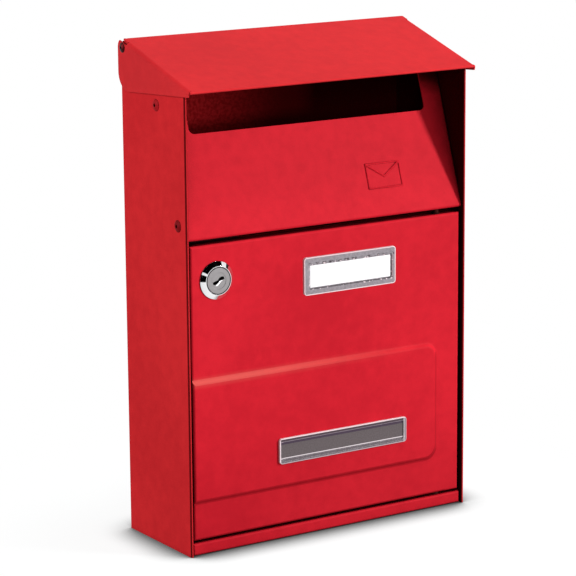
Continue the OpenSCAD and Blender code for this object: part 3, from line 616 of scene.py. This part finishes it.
# %% [markdown]
# ## The name plate's cover
# The cover is clear over the card, and its flange looks grey, because the moulding scatters light. Above
# the card runs a row of crimps, where it grips, drawn dark as painted shade, and painted glints sparkle
# round the window's edge. A dark line of painted shade runs under the card, and a painted highlight
# along the rim. Modelled one by one the crimps and glints would be smaller than a pixel, so they are drawn
# from the card's own outline.

# %% Name plate cover
CRIMP_STEP, CRIMP_ROW, CRIMP_HEIGHT = 5.87 * MM, 0.9 * MM, 1.7 * MM
SHADE_LINE = 0.35 * MM, 0.5 * MM
GLINT_LINE = 0.6 * MM, 0.9 * MM
COVER_EDGE_LINE = -0.3 * MM, 0.6 * MM
SPECK_SCALE = 700.0
FLANGE = rgb(120, 115, 120), rgb(142, 136, 142)
SHADE = rgb(52, 40, 46)
COVER_ALPHA, OVER_CARD_ALPHA = 0.94, 0.06


def cover_finish():
    material, tree, place = start_finish("cover_plastic")
    low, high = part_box("name_plate_cover")
    card_low, card_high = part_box("name_card")
    haze = noise(tree, place, 900.0, detail=3.0)
    speck = noise(tree, place, SPECK_SCALE)
    edge = outside_by(place, low, high, MOULD_RADIUS)
    window = outside_by(place, card_low, card_high, 0.4 * MM)
    x, _, z = place.axes()
    along = (x - low.x) / CRIMP_STEP
    crimp = along.maths("FRACT", along).line(0.5, 0.7) * speck.band(0.42, 0.5)
    row = z.line(card_high.z + CRIMP_ROW, CRIMP_HEIGHT) * window.below(2.0 * MM, 0.1 * MM)
    under = window.line(*SHADE_LINE) * z.below(card_low.z + 0.2 * MM, 0.1 * MM)
    base = haze.two_tone(*FLANGE, soft=0.25)
    # painted shade: dark crimps above the card and a dark line under it
    base = (crimp * row).blend(base, SHADE)
    base = under.blend(base, SHADE)
    # painted glints round the card's window and a painted highlight along the rim
    base = (speck.band(0.6, 0.64) * window.line(*GLINT_LINE)).blend(base, EDGE_HIGHLIGHT)
    base = edge.line(*COVER_EDGE_LINE).blend(base, EDGE_HIGHLIGHT)
    over_card = window.below(0, 0.15 * MM)
    alpha = COVER_ALPHA - over_card * (COVER_ALPHA - OVER_CARD_ALPHA)
    return end_plastic(material, tree, base, alpha, haze)


cover_plastic = cover_finish()

# %% [markdown]
# ## The inspection window
# The window is a shallow dish with a rim, and behind it the case is dark: the pane's dark grey is that
# shade, painted in. From the front one sees bands: the bright rim, the darker wall of the dish at the top,
# a bright line and a frosted strip at the foot, and an upright line where the wall of the dish turns at
# the right. The bright rim and lines are painted highlights, and the darker wall is painted shade. The
# list below gives each band by its distance from the top, the foot or the right, in the order in which
# they lie over each other.

# %% Inspection window
PANE = rgb(80, 71, 73), rgb(90, 81, 83)
FROST = rgb(76, 68, 72), rgb(128, 120, 125)
LINE, EDGE_SOFT = 0.5 * MM, 0.2 * MM


def window_finish():
    material, tree, place = start_finish("window_plastic")
    low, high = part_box("inspection_window")
    haze = noise(tree, place, 1100.0, detail=3.0)
    fine = noise(tree, place, 3200.0)
    x, _, z = place.axes()
    frost = fine.two_tone(*FROST, soft=0.15)
    # painted bands: the bright lines are painted highlights, the dark bands at the top painted shade
    layers = [
        (z.band(high.z - 4.3 * MM, high.z - 3.9 * MM), rgb(58, 42, 60)),
        (z.line(high.z - 2.3 * MM, LINE), rgb(150, 136, 146)),
        (z.band(high.z - 2.0 * MM, high.z - 1.8 * MM), rgb(66, 50, 58)),
        (z.below(low.z + 3.4 * MM, 0.15 * MM), frost),
        (z.line(low.z + 2.2 * MM, LINE), rgb(92, 82, 88)),
        (z.line(low.z + 3.6 * MM, LINE), rgb(214, 204, 208)),
        ((x - high.x + 1.9 * MM).abs().below(0.25 * MM, 0.1 * MM), rgb(214, 206, 210)),
        (x.band(high.x - 1.5 * MM, high.x - 1.3 * MM), rgb(120, 108, 114)),
        (outside_by(place, low, high, MOULD_RADIUS).line(-0.25 * MM, 0.6 * MM), rgb(170, 154, 160)),
    ]
    # the pane's dark grey paints the shade of the case behind it
    base = haze.two_tone(*PANE)
    for mask, colour in layers:
        base = mask.blend(base, colour)
    # painted highlight on the rim at the left and top
    left_rim_highlight = (low.x + 0.9 * MM - x).band(0, EDGE_SOFT)
    top_rim_highlight = (z - high.z + 0.75 * MM).band(0, EDGE_SOFT)
    base = left_rim_highlight.larger(top_rim_highlight).blend(base, EDGE_HIGHLIGHT)
    return end_plastic(material, tree, base, 0.97 - haze * 0.04, haze)


window_plastic = window_finish()

# %% [markdown]
# ## Card and white plastic
# The card is uncoated paper and the plate behind it is white plastic. Flat white would do from far away,
# but a faint fibre or grain keeps a white field from looking like a hole in the picture.


# %% Card and white plastic
def plain(name, light, dark, rough, scale, depth):
    material, tree, place = start_finish(name)
    fibre = noise(tree, place, scale, detail=4.0, roughness=0.6)
    return end_finish(material, tree, {
        "Base Color": fibre.two_tone(dark, light),
        "Roughness": fibre.swing(0.2) + rough,
        "Normal": bump(tree, 0.3, depth, fibre)})


card = plain("white_card", rgb(252, 250, 252), rgb(246, 244, 247), 0.75, 2400.0, 0.02 * MM)
white_plastic = plain("white_plastic", rgb(226, 226, 224), rgb(214, 214, 212), 0.45, 1200.0, 0.01 * MM)

# %% [markdown]
# ## Dressing the pieces
# Most pieces take the finish of their material slot, as a bill of materials would say it. A few have one
# of their own. A piece keeps its solid as it is, and only its material changes. The cover throws no
# shadow: real acrylic lets light through to the card, and this one would block it at its grey flange.

# %% Dress the pieces
SLOT_FINISH = {
    "red_paint": red_paint, "lock_chrome": lock_chrome, "satin_nickel": satin_nickel,
    "zinc_steel": zinc_steel, "pin_steel": pin_steel, "black_steel": black_steel,
    "white_plastic": white_plastic, "card": card,
}
OWN_FINISH = {
    "case_shell": case_paint, "slot_panel": panel_paint, "door_panel": door_paint, "roof_lid": roof_paint,
    "slot_rivet_upper_left": rivet_paint, "slot_rivet_upper_right": rivet_paint,
    "slot_rivet_lower_left": dark_rivet_paint, "slot_rivet_lower_right": dark_rivet_paint,
    "name_plate_cover": cover_plastic, "inspection_window": window_plastic,
}
slot_of = {part["node"]: part["material_slot"] for part in frame["record"]["subparts"]}
for name, piece in nodes.items():
    piece.data.materials.clear()
    piece.data.materials.append(OWN_FINISH.get(name) or SLOT_FINISH[slot_of[name]])
nodes["name_plate_cover"].visible_shadow = False
print("dressed:", len(nodes), "pieces")

# %% [markdown]
# ## A pressed sign on the sloped panel
# The panel of such a box has a sign pressed into the sheet, to show where letters go. Here it is a
# plain envelope. It could be a bump in the paint, but a pressed line is a real shape that catches
# the light, so it is a thin bead on the panel. Each of its points is found by a ray from the front, so
# the bead lies on the slope whatever its angle.

# %% Find the panel
SIGN_MIDDLE = (48 * MM, 227 * MM)
SIGN_HALF = (13 * MM, 7.5 * MM)


def on_panel(u, v):
    """The point of the panel behind u, v, which run from -1 to 1 over the sign."""
    start = Vector((SIGN_MIDDLE[0] + u * SIGN_HALF[0], -1, SIGN_MIDDLE[1] + v * SIGN_HALF[1]))
    hit, place, _, _ = nodes["slot_panel"].ray_cast(start, Vector((0, 1, 0)))
    assert hit
    return place


print("sign: its middle is at", [round(v, 4) for v in on_panel(0, 0)])

# %% [markdown]
# ## Drawing the bead
# Two lines make the envelope: its outline, which is closed, and its flap, which is open. A poly curve
# with a round bevel is the quickest way to a bead of even thickness. The curves are then made into one
# mesh, which rides on the case with the panel.

# %% Pressed envelope
BEAD_RADIUS, BEAD_ROUNDNESS = 0.7 * MM, 2
OUTLINE = [(-1, -1), (1, -1), (1, 1), (-1, 1)]
FLAP = [(-1, 1), (0, -0.1), (1, 1)]


def bead(points, closed):
    path = bpy.data.curves.new("bead", "CURVE")
    path.dimensions = "3D"
    path.bevel_depth, path.bevel_resolution, path.use_fill_caps = BEAD_RADIUS, BEAD_ROUNDNESS, True
    line = path.splines.new("POLY")
    line.points.add(len(points) - 1)
    for point, (u, v) in zip(line.points, points):
        point.co = (*on_panel(u, v), 1)
    line.use_cyclic_u = closed
    drawn = bpy.data.objects.new("bead", path)
    bpy.context.scene.collection.objects.link(drawn)
    return drawn


shape = bmesh.new()
for drawn in [bead(OUTLINE, True), bead(FLAP, False)]:
    shape.from_mesh(drawn.to_mesh())
    drawn.to_mesh_clear()
    bpy.data.objects.remove(drawn)
sign_mesh = bpy.data.meshes.new("envelope_sign")
shape.to_mesh(sign_mesh)
shape.free()
sign = bpy.data.objects.new("envelope_sign", sign_mesh)
bpy.context.scene.collection.objects.link(sign)
sign.data.materials.append(red_paint)
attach(sign, "case")
print("sign:", len(sign_mesh.polygons), "faces")

# %% [markdown]
# ## A white room that doesn't bleach
# The background is white, as in a catalogue. Lamps on a backdrop would do it in a studio, but their light
# would wash over the box as well. The Light Path node gives a better way: it tells the rays that are seen,
# by the camera, in a mirror or through plastic, from the rays that carry light to the box. Seen rays find
# white, and the others find a dim room.

# %% World
AMBIENT = 0.10
WHITE = (1, 1, 1, 1)


def seen_rays(tree):
    """1 for rays from the camera, a mirror or clear plastic, and 0 for light on its way to the box."""
    camera_ray = tree.node("ShaderNodeLightPath", out="Is Camera Ray")
    mirror_ray, through_ray = camera_ray.other("Is Glossy Ray"), camera_ray.other("Is Transmission Ray")
    return camera_ray.larger(mirror_ray.larger(through_ray))


world = bpy.data.worlds.new("studio")
sky = empty_tree(world)
strength = seen_rays(sky) * (1.0 - AMBIENT) + AMBIENT
shine = sky.node("ShaderNodeBackground", sockets={"Color": WHITE, "Strength": strength})
sky.node("ShaderNodeOutputWorld", sockets={"Surface": shine})
bpy.context.scene.world = world
print("world: white where it is seen,", AMBIENT, "as light")

# %% [markdown]
# ## The floor
# The box stands on a white sheet, and only a soft painted shadow under its edges says so. To the lamps the
# sheet is grey paper, which throws a little light up at the box. Where it is seen, it glows almost white
# and still takes some of the lamps' shadow. Away from the box it fades to pure white, so no horizon
# shows. Close to the box the Ambient Occlusion node finds the contact, and the sheet is painted dark
# there as a contact shadow.

# %% Floor
FLOOR_HALF = 6
PAPER, PALE = (0.3, 0.3, 0.3, 1), (0.11, 0.12, 0.12, 1)
GLOW, CONTACT_SHADOW_GLOW = 0.9, 0.05
CONTACT_SHADOW_REACH, CONTACT_SHADOW_FADE = 32 * MM, (0.40, 0.98)
WHITE_FROM, WHITE_AT = 120 * MM, 240 * MM

floor_mesh = bpy.data.meshes.new("floor")
shape = bmesh.new()
bmesh.ops.create_grid(shape, x_segments=1, y_segments=1, size=FLOOR_HALF)
shape.to_mesh(floor_mesh)
shape.free()
floor = bpy.data.objects.new("floor", floor_mesh)
bpy.context.scene.collection.objects.link(floor)

floor_material = bpy.data.materials.new("pale_floor")
tree = empty_tree(floor_material)
paper = tree.node("ShaderNodeBsdfDiffuse", sockets={"Color": PAPER})
pale = tree.node("ShaderNodeBsdfDiffuse", sockets={"Color": PALE})
glow, dark, white = (
    tree.node("ShaderNodeEmission", sockets={"Color": WHITE, "Strength": level})
    for level in (GLOW, CONTACT_SHADOW_GLOW, 1.0)
)
from_box = tree.node("ShaderNodeNewGeometry", out="Position").vector("MULTIPLY", (1, 1, 0))
away = from_box.vector("LENGTH", out="Value").band(WHITE_FROM, WHITE_AT)
# painted contact shadow: the sheet turns dark where the box crowds it
clear = openness(tree, CONTACT_SHADOW_REACH, samples=24).band(*CONTACT_SHADOW_FADE)
near = tree.node("ShaderNodeMixShader", sockets={
    0: clear, 1: dark, 2: tree.node("ShaderNodeAddShader", sockets={0: pale, 1: glow})})
sheet = tree.node("ShaderNodeMixShader", sockets={0: away, 1: near, 2: white})
surface = tree.node("ShaderNodeMixShader", sockets={0: seen_rays(tree), 1: paper, 2: sheet})
tree.node("ShaderNodeOutputMaterial", sockets={"Surface": surface})
floor.data.materials.append(floor_material)
print("floor:", 2 * FLOOR_HALF, "m wide, white from", WHITE_AT, "m")

# %% [markdown]
# ## The end
# The size of the mechanical model and that of the dressed one go side by side into a small file, so that
# anyone can see that the looks changed no size. The last call hands the scene over.

# %% The end
print("scene: dressed")
